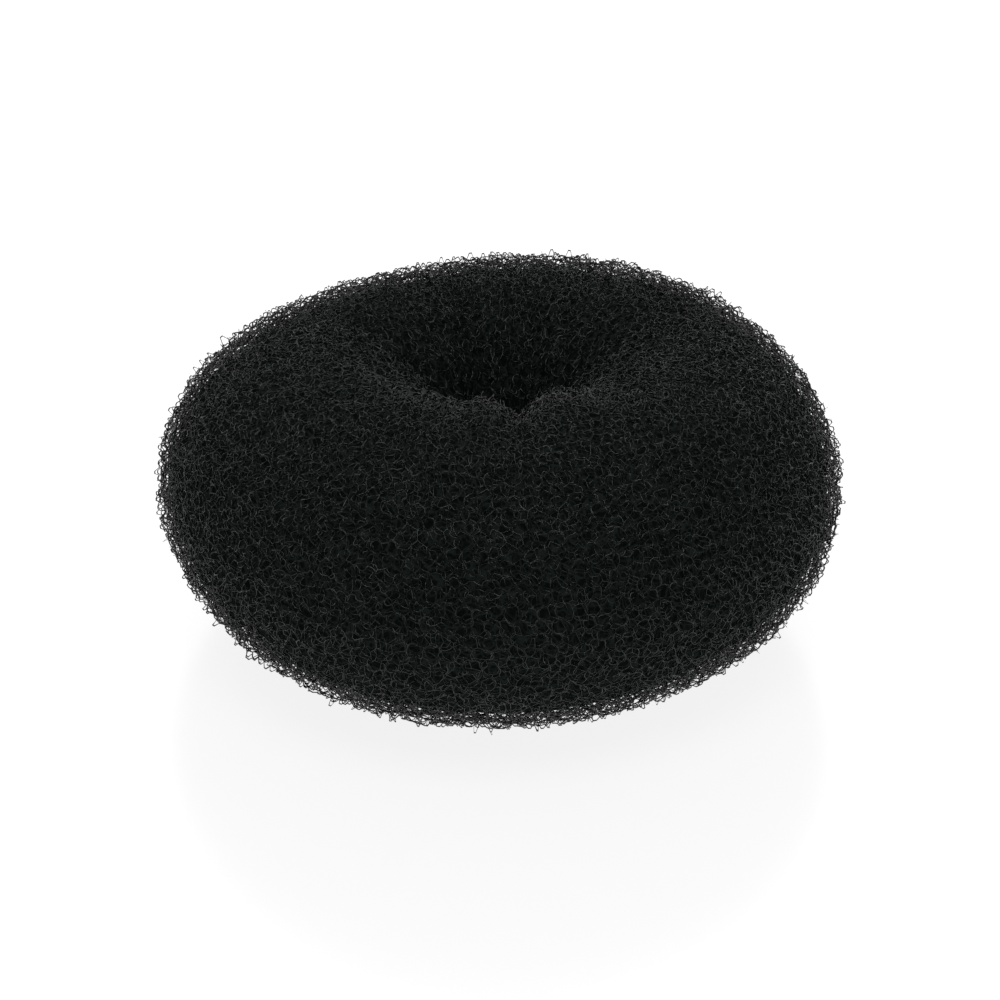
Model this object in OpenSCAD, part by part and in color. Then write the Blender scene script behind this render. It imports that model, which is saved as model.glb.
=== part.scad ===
// Hair donut: one length of springy net, rolled on itself into a soft ring and gathered in at its hole.
// A ponytail is drawn through the hole and spread over the ring to make a bun.
// Millimetres. The ring rests on Z = 0 with the middle of its outline on the Z axis, and -Y is its front.

/* [Ring] */
// Mean width of the ring across its widest line
ring_w = 90; // [70:1:120]
// Mean height of the crest above the surface that the ring rests on
ring_h = 40; // [30:0.5:50]
// Height of the widest line
waist_h = 20; // [12:0.5:26]
// Width across the crest, from its top on one side of the hole to its top on the other
crest_w = 44; // [28:0.5:50]

/* [Foot] */
// Width across the foot that the ring rests on, middle to middle
foot_w = 37; // [30:0.5:50]
// Width of the band that is pressed flat where the ring rests
foot_flat = 6; // [2:0.5:10]

/* [Hole] */
// Mean width of the hole at its neck, between the lobes of the gathered net
neck_w = 7; // [5:0.5:14]
// Height of the neck
neck_h = 19; // [12:0.5:24]
// How straight its wall slopes down from the crest: 1 is as round as the outside, 2 is a cone
wall_slope = 1.1; // [1:0.05:1.6]
// Depth of the deepest crease between two lobes, at the neck
gather_depth = 5; // [1:0.5:8]

/* [Hidden] */
net_black = "#17191a";

// Points round the ring, and along each quarter of its section
around_n = 96;
quarter_n = 10;

// Columns of the two tables of waves
WAVES = 0;
PEAK_ANGLE = 1;
SHARE = 2;

// How the soft ring is out of round: waves in one turn, direction of a high place, share of the mean half width
out_of_round = [
    [2, 73, 0.017],
    [3, 55, 0.009],
    [4, -18, 0.012],
];

// How the crest rises and dips: waves in one turn, direction of a high place, share of the mean height
crest_waves = [
    [1, -63, 0.019],
    [2, 83, 0.010],
    [3, 55, 0.006],
];

// How the crest is out of round about the hole: waves in one turn, direction of a wide place, share of half its width
crest_out_of_round = [
    [1, 0, 0.02],
    [2, 0, 0.05],
];

// Columns of the table of gathers
DIRECTION = 0;
HALF_ANGLE = 1;
DEPTH_SHARE = 2;

// Creases in the wall of the hole: direction, half width in degrees, share of gather_depth
gathers = [
    [24, 24, 0.30],
    [66, 22, 0.24],
    [110, 20, 0.30],
    [155, 24, 0.34],
    [250, 22, 0.24],
    [277, 14, 1.00],
    [316, 21, 0.30],
];

// The creases start over the crest, are at their deepest from here to the neck, and run out under the ring,
// in degrees of the section
crease_start_angle = 60;
crease_full_angle = 130;
crease_end_angle = 255;

// Stations along the section: degrees from the widest line up over the crest, and the side of the foot's flat band
stations = concat(
    [for (i = [0:3 * quarter_n]) [i * 90 / quarter_n, -1]],
    [for (i = [3 * quarter_n:4 * quarter_n - 1]) [i * 90 / quarter_n, 1]]
);
section_n = len(stations);

function sum(list, i = 0) = i < len(list) ? list[i] + sum(list, i + 1) : 0;
function smooth(x) = let (s = min(max(x, 0), 1)) s * s * (3 - 2 * s);
function turn_between(a, b) = abs(((a - b) % 360 + 540) % 360 - 180);

// Share by which a table of waves raises direction a
function raised(table, a) = sum([for (w = table) w[SHARE] * cos(w[WAVES] * (a - w[PEAK_ANGLE]))]);

// Depth of the creases in direction a: sharp along the bottom of each crease, soft where it meets a lobe
function crease(a) = gather_depth * sum([
    for (g = gathers)
        let (reach = max(0, 1 - turn_between(a, g[DIRECTION]) / g[HALF_ANGLE]))
        g[DEPTH_SHARE] * reach * reach
]);

// Share of a crease's depth at t degrees of the section
function crease_share(t) = t < 180
    ? smooth((t - crease_start_angle) / (crease_full_angle - crease_start_angle))
    : smooth((crease_end_angle - t) / (crease_end_angle - 180));

// Radius and height of a station in direction a. The section is four quarters of ellipses and the flat foot,
// and a crease pushes the net back into the ring.
function section_point(a, station) =
    let (
        t = station[0],
        c = cos(t),
        s = sin(t),
        crest_r = crest_w / 2 * (1 + raised(crest_out_of_round, a)),
        foot_r = foot_w / 2 + station[1] * foot_flat / 2,
        crest_or_foot_r = s > 0 ? crest_r : foot_r,
        side_r = c > 0 ? ring_w / 2 * (1 + raised(out_of_round, a)) : neck_w / 2,
        middle_h = c > 0 ? waist_h : neck_h,
        end_h = s > 0 ? ring_h * (1 + raised(crest_waves, a)) : 0,
        straight = c > 0 ? 1 : wall_slope,
        pushed = crease(a) * crease_share(t)
    )
    [
        crest_or_foot_r + (side_r - crest_or_foot_r) * pow(abs(c), straight) - c * pushed,
        middle_h + (end_h - middle_h) * pow(abs(s), straight) - s * pushed
    ];

ring_points = [
    for (i = [0:around_n - 1], station = stations)
        let (a = i * 360 / around_n, p = section_point(a, station))
        [p[0] * cos(a), p[0] * sin(a), p[1]]
];

// Two triangles between each station and the next, in this direction and the next
ring_faces = [
    for (i = [0:around_n - 1], j = [0:section_n - 1])
        let (
            here = i * section_n,
            next = (i + 1) % around_n * section_n,
            k = (j + 1) % section_n
        )
        each [[here + j, here + k, next + k], [here + j, next + k, next + j]]
];

function middle_of(values) = (min(values) + max(values)) / 2;
outline_middle = [
    middle_of([for (p = ring_points) p[0]]),
    middle_of([for (p = ring_points) p[1]]),
    0
];

module rolled_net() {
    color(net_black)
        translate(-outline_middle)
            polyhedron(points = ring_points, faces = ring_faces, convexity = 6);
}

rolled_net();
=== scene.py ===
"""Hair donut: layers of springy black net, knitted from nylon thread and rolled up into a soft ring."""

import math
import random

import bmesh
import bpy
from mathutils import Matrix, Vector, noise
from mathutils.bvhtree import BVHTree


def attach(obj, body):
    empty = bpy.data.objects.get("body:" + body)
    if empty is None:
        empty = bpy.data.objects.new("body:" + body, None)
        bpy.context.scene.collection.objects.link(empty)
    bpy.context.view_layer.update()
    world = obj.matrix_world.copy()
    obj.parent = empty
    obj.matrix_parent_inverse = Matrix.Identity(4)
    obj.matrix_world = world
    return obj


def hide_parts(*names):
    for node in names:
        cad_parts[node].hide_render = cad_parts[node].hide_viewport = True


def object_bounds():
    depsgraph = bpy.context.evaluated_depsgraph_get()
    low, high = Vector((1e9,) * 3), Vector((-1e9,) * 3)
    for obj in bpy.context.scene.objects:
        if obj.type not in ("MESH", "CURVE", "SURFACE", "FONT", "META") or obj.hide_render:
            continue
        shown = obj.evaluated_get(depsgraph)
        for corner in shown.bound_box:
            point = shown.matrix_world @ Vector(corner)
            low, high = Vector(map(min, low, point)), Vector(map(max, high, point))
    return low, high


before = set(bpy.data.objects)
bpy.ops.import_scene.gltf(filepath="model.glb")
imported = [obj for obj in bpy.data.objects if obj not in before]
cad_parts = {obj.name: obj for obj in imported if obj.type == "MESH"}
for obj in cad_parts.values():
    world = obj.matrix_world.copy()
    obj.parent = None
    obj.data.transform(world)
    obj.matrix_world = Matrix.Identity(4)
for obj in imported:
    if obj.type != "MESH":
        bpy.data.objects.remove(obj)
cad_low, cad_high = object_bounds()

MM = 0.001
FULL_TURN = 2 * math.pi

# The net as it is knitted
CELL = 1.94 * MM  # from the middle of a cell to the middle of the next
THREAD = 0.15 * MM  # thickness of the nylon thread
DYE_SCALE = 3 * MM  # width of the places where the dye is a little deeper or paler
UNEVEN = 0.32  # how far a cell is pulled out of its place, as a share of CELL

# How the cells are pressed together over the crest, and drawn out where the net is gathered at the hole.
# Columns: direction round the roll in degrees, from its widest line up over the crest; width of a cell
# round the ring, and length of a cell along the roll, as shares of CELL.
GATHERED = [
    (0, 1.0, 1.0),
    (60, 0.88, 0.9),
    (95, 0.7, 0.8),
    (140, 0.68, 1.2),
    (180, 0.68, 1.4),
    (230, 1.05, 1.35),
    (270, 1.1, 1.1),
    (310, 0.88, 0.9),
    (360, 1.0, 1.0),
]

# Layers of the roll, outermost first.
# depth: below the outer form.
# bends: bends in each thread between two knots.
# loft: how far knots stand up or sink.
# bow: how far threads bow up or down between their knots.
# loops: share of the threads that have sprung out of the roll.
# parts: pieces that the layer is made in.
LAYERS = [
    {"name": "net_outer", "depth": 0.3 * MM, "bends": 2, "loft": 0.45 * MM, "bow": 0.55 * MM,
     "loops": 0.12, "parts": 3},
    {"name": "net_second", "depth": 0.95 * MM, "bends": 1, "loft": 0.6 * MM, "bow": 0.5 * MM,
     "loops": 0.0, "parts": 2},
    {"name": "net_third", "depth": 1.42 * MM, "bends": 0, "loft": 0.8 * MM, "bow": 0.0,
     "loops": 0.0, "parts": 1},
]
LOOP_HEIGHT = 0.65 * MM  # how far a sprung loop stands out at most
LOWEST_LOOP = 0.3  # height of the lowest sprung loop, as a share of LOOP_HEIGHT
SIDEWAYS = 0.65  # how far threads bow sideways, as a share of how far they bow up or down
LOFT_SCALE = 2.4 * MM  # width of the places where the net stands up or sinks
LOFT_CHANCE = 0.6  # how far a single knot stands up or sinks by itself, as a share of its layer's loft

# The rest of the roll, whose layers can't be told apart
CORE_DEPTH = 1.92 * MM
CORE_LUMPS = 0.5 * MM  # height of its lumps
LUMP_SCALE = 2.5 * MM  # width of its lumps
CORE_SEED = 9
STRAY = 2 * MM  # how far its threads stray
STRAY_SCALE = 1.6 * MM  # width of the bends of its threads
UPPER_CELL = 1.6 * MM  # the net that shows on it
LOWER_CELL = 1.1 * MM  # the net that shines through that one, pressed closer together

# The middle of the roll's own section, from the size of the ring
RING_R = (cad_high.x - cad_low.x) / 2
ROLL_R = 0.58 * RING_R
ROLL_Z = 0.48 * cad_high.z

# Finding points on the outer form
WELD = 0.005 * MM  # its points that are closer together than this are one point
SLIP = 1e-5  # radians, the turn that helps a ray past the seam of two triangles
SLIPS = 20  # turns at most

# The camera, as it stood for the photograph
CAMERA_DISTANCE = 400 * MM
CAMERA_ELEVATION = 28.0  # degrees
CAMERA_LENS = 110.0  # mm
CAMERA_SENSOR = 36.0  # mm
AIM = Vector((0.17 * MM, -0.6 * MM, 16.9 * MM))

# The studio
TABLE_W = 5.0  # metres
SOFTBOX_PLACE = Vector((0, -0.35, 0.85))  # metres
SOFTBOX_AIM = Vector((0, 0, 20 * MM))
SOFTBOX_W = 0.5  # metres
SOFTBOX_POWER = 2.95  # watts
ROOM_LIGHT = 0.12  # light of the dim room, as a share of the white wall's
ROOM_ENDS = -0.1  # where the wall's light sets in: how far a direction points to the back, from -1 to 1
WALL_STARTS = 0.6  # where it is full


def surface_tree(node):
    """The outer form of the ring, for finding points on it."""
    bm = bmesh.new()
    bm.from_mesh(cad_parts[node].data)
    bmesh.ops.remove_doubles(bm, verts=bm.verts, dist=WELD)
    tree = BVHTree.FromBMesh(bm)
    bm.free()
    return tree


FORM = surface_tree("rolled_net")


def on_form(around, along, depth):
    """The point `depth` below the surface, in direction `around` of the hole and `along` of the roll."""
    outward = Vector((math.cos(around), math.sin(around), 0))
    middle = outward * ROLL_R + Vector((0, 0, ROLL_Z))
    for slip in range(SLIPS):
        way = along + slip * SLIP
        ray = outward * math.cos(way) + Vector((0, 0, math.sin(way)))
        hit = FORM.ray_cast(middle, ray)[0]
        if hit:
            return hit - ray * depth
    raise ValueError("the ring's surface wasn't found")


def face_outward(bm):
    """Turns the faces of a closed mesh outward."""
    bmesh.ops.recalc_face_normals(bm, faces=bm.faces)
    if bm.calc_volume(signed=True) < 0:
        bmesh.ops.reverse_faces(bm, faces=bm.faces)


def cell_size(along):
    """Width and length of a cell in direction `along` of the roll."""
    here = math.degrees(along) % 360
    k = next(k for k, mark in enumerate(GATHERED) if mark[0] > here)
    (start, *first), (end, *last) = GATHERED[k - 1:k + 1]
    share = (here - start) / (end - start)
    return [CELL * (a + (b - a) * share) for a, b in zip(first, last)]


def rows_along(depth):
    """Directions along the roll, a row of cells apart, and their mean distances from the hole's axis."""
    steps = 720
    spokes = 12
    ring = []
    for i in range(steps + 1):
        points = [on_form(k * FULL_TURN / spokes, i * FULL_TURN / steps, depth) for k in range(spokes)]
        mean_reach = sum(math.hypot(p.x, p.y) for p in points) / spokes
        mean_height = sum(p.z for p in points) / spokes
        ring.append((mean_reach, mean_height))
    cells = [0.0]
    for i in range(steps):
        cells.append(cells[-1] + math.dist(ring[i], ring[i + 1]) / cell_size(i * FULL_TURN / steps)[1])
    count = 2 * round(cells[-1] / math.sqrt(3))
    rows = []
    for k in range(count):
        i = max(j for j, passed in enumerate(cells) if passed <= cells[-1] * k / count)
        rows.append((i * FULL_TURN / steps, ring[i][0]))
    return rows


def stitch_lattice(depth, draw, uneven=UNEVEN):
    """A closed lattice of triangles on the ring, with a point for each cell of the net.

    Its rows are joined as a plain tube, each on a level of its own, before they are laid on the form."""
    bm = bmesh.new()
    rings = []
    for level, (along, reach) in enumerate(rows_along(depth)):
        turn = Matrix.Rotation(draw.random() * FULL_TURN, 4, "Z")
        lift = Matrix.Translation((0, 0, level * CELL))
        count = round(FULL_TURN * reach / cell_size(along)[0])
        ring = bmesh.ops.create_circle(bm, segments=count, radius=RING_R, matrix=lift @ turn)["verts"]
        rings.append((along, reach, ring, list({e for v in ring for e in v.link_edges})))
    for here, there in zip(rings, rings[1:] + rings[:1]):
        bmesh.ops.bridge_loops(bm, edges=here[3] + there[3])
    bmesh.ops.triangulate(bm, faces=bm.faces, quad_method="SHORT_EDGE")
    for along, reach, ring, _ in rings:
        width, length = cell_size(along)
        aside = uneven * width / reach
        ahead = uneven * length / (RING_R - ROLL_R)
        for v in ring:
            around = math.atan2(v.co.y, v.co.x) + draw.uniform(-aside, aside)
            v.co = on_form(around, along + draw.uniform(-ahead, ahead), depth)
    face_outward(bm)
    return bm


def new_piece(name, bm):
    """A mesh object from a bmesh, in the scene."""
    mesh = bpy.data.meshes.new(name)
    bm.to_mesh(mesh)
    bm.free()
    piece = bpy.data.objects.new(name, mesh)
    bpy.context.scene.collection.objects.link(piece)
    return piece


def settle_modifiers(piece):
    """Turns what the modifiers show into the piece's own mesh."""
    shaped = piece.evaluated_get(bpy.context.evaluated_depsgraph_get())
    mesh = bpy.data.meshes.new_from_object(shaped)
    piece.modifiers.clear()
    piece.data = mesh


def cells_group():
    """A node group that turns a lattice of stitches into the cells of the net round them."""
    group = bpy.data.node_groups.new("cells_round_stitches", "GeometryNodeTree")
    for way in ("INPUT", "OUTPUT"):
        group.interface.new_socket("Geometry", in_out=way, socket_type="NodeSocketGeometry")
    lattice, cells, out = (
        group.nodes.new(kind) for kind in ("NodeGroupInput", "GeometryNodeDualMesh", "NodeGroupOutput")
    )
    group.links.new(lattice.outputs[0], cells.inputs[0])
    group.links.new(cells.outputs[0], out.inputs[0])
    return group


CELLS = cells_group()


def loosen(bm, layer, draw):
    """Lets the knots of a flat net stand up or sink, and its threads bow between them and spring out."""
    if layer["bends"]:
        bmesh.ops.bisect_edges(bm, edges=bm.edges, cuts=layer["bends"])
    bm.normal_update()
    knots = [v for v in bm.verts if len(v.link_edges) > 2]
    if layer["bends"] == 1:
        bends = [(v, v) for v in bm.verts if len(v.link_edges) == 2]
    else:
        bends = [e.verts for e in bm.edges if all(len(v.link_edges) == 2 for v in e.verts)]
    moves = {}
    for v in knots:
        rise = noise.noise(v.co / LOFT_SCALE) + draw.uniform(-LOFT_CHANCE, LOFT_CHANCE)
        moves[v] = v.normal * layer["loft"] * rise
    for a, b in bends:
        start = next(e for e in a.link_edges if b not in e.verts or a is b).other_vert(a)
        end = next(e for e in reversed(b.link_edges) if a not in e.verts or a is b).other_vert(b)
        up = (a.normal + b.normal).normalized()
        side = (end.co - start.co).cross(up).normalized()
        bow = layer["bow"] * (up * draw.uniform(-1, 1) + side * SIDEWAYS * draw.uniform(-1, 1))
        if draw.random() < layer["loops"]:
            bow += up * LOOP_HEIGHT * draw.uniform(LOWEST_LOOP, 1)
        moves[a] = moves[b] = bow + (moves.get(start, Vector()) + moves.get(end, Vector())) / 2
    for v, move in moves.items():
        v.co += move
        v.co.z = max(v.co.z, THREAD / 2)


def net_layer(layer, seed, material):
    """One layer of the roll, as closed nets of thread."""
    draw = random.Random(seed)
    flat = new_piece(layer["name"], stitch_lattice(layer["depth"], draw))
    flat.modifiers.new("cells", "NODES").node_group = CELLS
    settle_modifiers(flat)
    pieces = []
    for k in range(layer["parts"]):
        bm = bmesh.new()
        bm.from_mesh(flat.data)
        face_outward(bm)
        loosen(bm, layer, random.Random(seed))
        low, high = (FULL_TURN * (k + j) / layer["parts"] - math.pi for j in (0, 1))
        spare = [
            f for f in bm.faces
            if not low <= math.atan2(f.calc_center_median().y, f.calc_center_median().x) < high
        ]
        if layer["parts"] > 1:
            bmesh.ops.delete(bm, geom=spare, context="FACES")
        piece = new_piece(f"{layer['name']}_{k + 1}", bm)
        threads = piece.modifiers.new("threads", "WIREFRAME")
        threads.thickness = THREAD
        threads.use_even_offset = False
        threads.use_boundary = True
        settle_modifiers(piece)
        piece.data.materials.append(material)
        piece.data.shade_smooth()
        pieces.append(piece)
    bpy.data.objects.remove(flat)
    return pieces


def linear(hex_colour):
    """The linear colour of an sRGB hex value, with full alpha."""
    shares = [int(hex_colour[i:i + 2], 16) / 255 for i in (1, 3, 5)]
    return [*(((s + 0.055) / 1.055) ** 2.4 if s > 0.04045 else s / 12.92 for s in shares), 1.0]


def add(tree, kind, settings=None, links=None):
    """A node with its settings and the sockets that lead into it."""
    node = tree.nodes.new(kind)
    for name, value in (settings or {}).items():
        if isinstance(name, str) and hasattr(node, name):
            setattr(node, name, value)
        else:
            node.inputs[name].default_value = value
    for name, socket in (links or {}).items():
        tree.links.new(socket, node.inputs[name])
    return node


def finish_of(name):
    """A new material and its empty node tree."""
    material = bpy.data.materials.new(name)
    material.use_nodes = True
    material.node_tree.nodes.clear()
    return material, material.node_tree


def nylon_thread():
    """Nylon 6 monofilament, dyed black in the melt and drawn: a smooth thread with a narrow shine."""
    material, tree = finish_of("nylon_thread")
    place = add(tree, "ShaderNodeTexCoord").outputs["Object"]
    dye = add(tree, "ShaderNodeTexNoise", {"Scale": 1 / DYE_SCALE, "Detail": 1.0}, {"Vector": place})
    colour = add(
        tree, "ShaderNodeMix",
        {"data_type": "RGBA", 6: linear("#060908"), 7: linear("#111716")}, {"Factor": dye.outputs[0]}
    )
    skin = add(
        tree, "ShaderNodeBsdfPrincipled",
        {"Roughness": 0.16, "IOR": 1.53},
        {"Base Color": colour.outputs[2]}
    )
    add(tree, "ShaderNodeOutputMaterial", None, {"Surface": skin.outputs[0]})
    return material


def thread_lines(tree, place, cell, near, far):
    """1 along the threads of a net drawn on the surface, 0 in its cells.

    A thread is full up to `near` from its middle and gone at `far`, both as shares of a cell."""
    cells = add(
        tree, "ShaderNodeTexVoronoi",
        {"feature": "DISTANCE_TO_EDGE", "Scale": 1 / cell},
        {"Vector": place}
    )
    return add(
        tree, "ShaderNodeMapRange", {"From Min": near, "From Max": far, "To Min": 1.0, "To Max": 0.0},
        {"Value": cells.outputs["Distance"]}
    ).outputs[0]


def rolled_depths():
    """The inner layers of the same net: light that comes in between the threads hardly gets out again."""
    material, tree = finish_of("rolled_depths")
    place = add(tree, "ShaderNodeTexCoord").outputs["Object"]
    drift = add(tree, "ShaderNodeTexNoise", {"Scale": 1 / STRAY_SCALE, "Detail": 0.0}, {"Vector": place})
    bent = add(
        tree, "ShaderNodeVectorMath", {"operation": "MULTIPLY_ADD", 1: (STRAY,) * 3},
        {0: drift.outputs["Color"], 2: place}
    ).outputs[0]
    upper = thread_lines(tree, bent, UPPER_CELL, 0.03, 0.10)
    lower = thread_lines(tree, bent, LOWER_CELL, 0.03, 0.12)
    both = add(
        tree, "ShaderNodeMath", {"operation": "MULTIPLY_ADD", 1: 0.5}, {0: lower, 2: upper}
    ).outputs[0]
    colour = add(
        tree, "ShaderNodeMix",
        {"data_type": "RGBA", 6: linear("#121615"), 7: linear("#262c2a")}, {"Factor": both}
    )
    relief = add(tree, "ShaderNodeBump", {"Strength": 0.6, "Distance": THREAD}, {"Height": both})
    skin = add(
        tree, "ShaderNodeBsdfPrincipled", {"Roughness": 0.9, "Specular IOR Level": 0.0},
        {"Base Color": colour.outputs[2], "Normal": relief.outputs[0]}
    )
    add(tree, "ShaderNodeOutputMaterial", None, {"Surface": skin.outputs[0]})
    return material


def light_table():
    """Opal acrylic sheet, lit from below: it washes shadows out and holds a faint image of the ring."""
    material, tree = finish_of("light_table")
    skin = add(
        tree, "ShaderNodeBsdfPrincipled",
        {"Base Color": linear("#6c6c6c"), "Roughness": 0.2, "IOR": 1.49,
         "Emission Color": linear("#ffffff"), "Emission Strength": 0.87}
    )
    add(tree, "ShaderNodeOutputMaterial", None, {"Surface": skin.outputs[0]})
    return material


def core_piece():
    """The inner layers of the roll, closely wound."""
    bm = stitch_lattice(CORE_DEPTH, random.Random(CORE_SEED), uneven=0.0)
    for v in bm.verts:
        v.co += v.normal * CORE_LUMPS * noise.noise(v.co / LUMP_SCALE)
    core = new_piece("rolled_core", bm)
    core.data.materials.append(rolled_depths())
    core.data.shade_smooth()
    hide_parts("rolled_net")
    return core


def floor_piece():
    """The table that the ring rests on."""
    bm = bmesh.new()
    bmesh.ops.create_grid(bm, x_segments=1, y_segments=1, size=TABLE_W / 2)
    floor = new_piece("floor", bm)
    floor.data.materials.append(light_table())


def softbox():
    """A square softbox over the ring, a little to the front."""
    data = bpy.data.lights.new("overhead_softbox", "AREA")
    data.shape = "SQUARE"
    data.size = SOFTBOX_W
    data.energy = SOFTBOX_POWER
    light = bpy.data.objects.new("overhead_softbox", data)
    light.location = SOFTBOX_PLACE
    light.rotation_mode = "QUATERNION"
    light.rotation_quaternion = (SOFTBOX_AIM - SOFTBOX_PLACE).to_track_quat("-Z", "Y")
    bpy.context.scene.collection.objects.link(light)


def studio():
    """A white wall behind the ring and a dim room in front of it."""
    world = bpy.data.worlds.new("white_wall_and_dim_room")
    world.use_nodes = True
    tree = world.node_tree
    tree.nodes.clear()
    way = add(tree, "ShaderNodeTexCoord").outputs["Generated"]
    parts = add(tree, "ShaderNodeSeparateXYZ", None, {"Vector": way})
    bright = add(
        tree, "ShaderNodeMapRange",
        {"From Min": ROOM_ENDS, "From Max": WALL_STARTS, "To Min": ROOM_LIGHT, "To Max": 1.0},
        {"Value": parts.outputs["Y"]}
    )
    light = add(tree, "ShaderNodeBackground", None, {"Strength": bright.outputs[0]})
    add(tree, "ShaderNodeOutputWorld", None, {"Surface": light.outputs[0]})
    light.inputs["Color"].default_value = linear("#ffffff")
    bpy.context.scene.world = world
    bpy.context.scene.view_settings.view_transform = "Standard"


def camera():
    """The camera, at the photograph's distance and angle."""
    elevation = math.radians(CAMERA_ELEVATION)
    back = Vector((0, -math.cos(elevation), math.sin(elevation)))
    data = bpy.data.cameras.new("camera")
    data.lens = CAMERA_LENS
    data.sensor_width = CAMERA_SENSOR
    data.clip_start = 0.01
    data.clip_end = 10
    view = bpy.data.objects.new("camera", data)
    view.location = AIM + back * CAMERA_DISTANCE
    view.rotation_mode = "QUATERNION"
    view.rotation_quaternion = (-back).to_track_quat("-Z", "Y")
    bpy.context.scene.collection.objects.link(view)
    bpy.context.scene.camera = view


camera()
studio()
softbox()
floor_piece()
thread = nylon_thread()
made = [core_piece()]
for number, layer in enumerate(LAYERS):
    made += net_layer(layer, number + 1, thread)
for piece in made:
    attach(piece, "root")
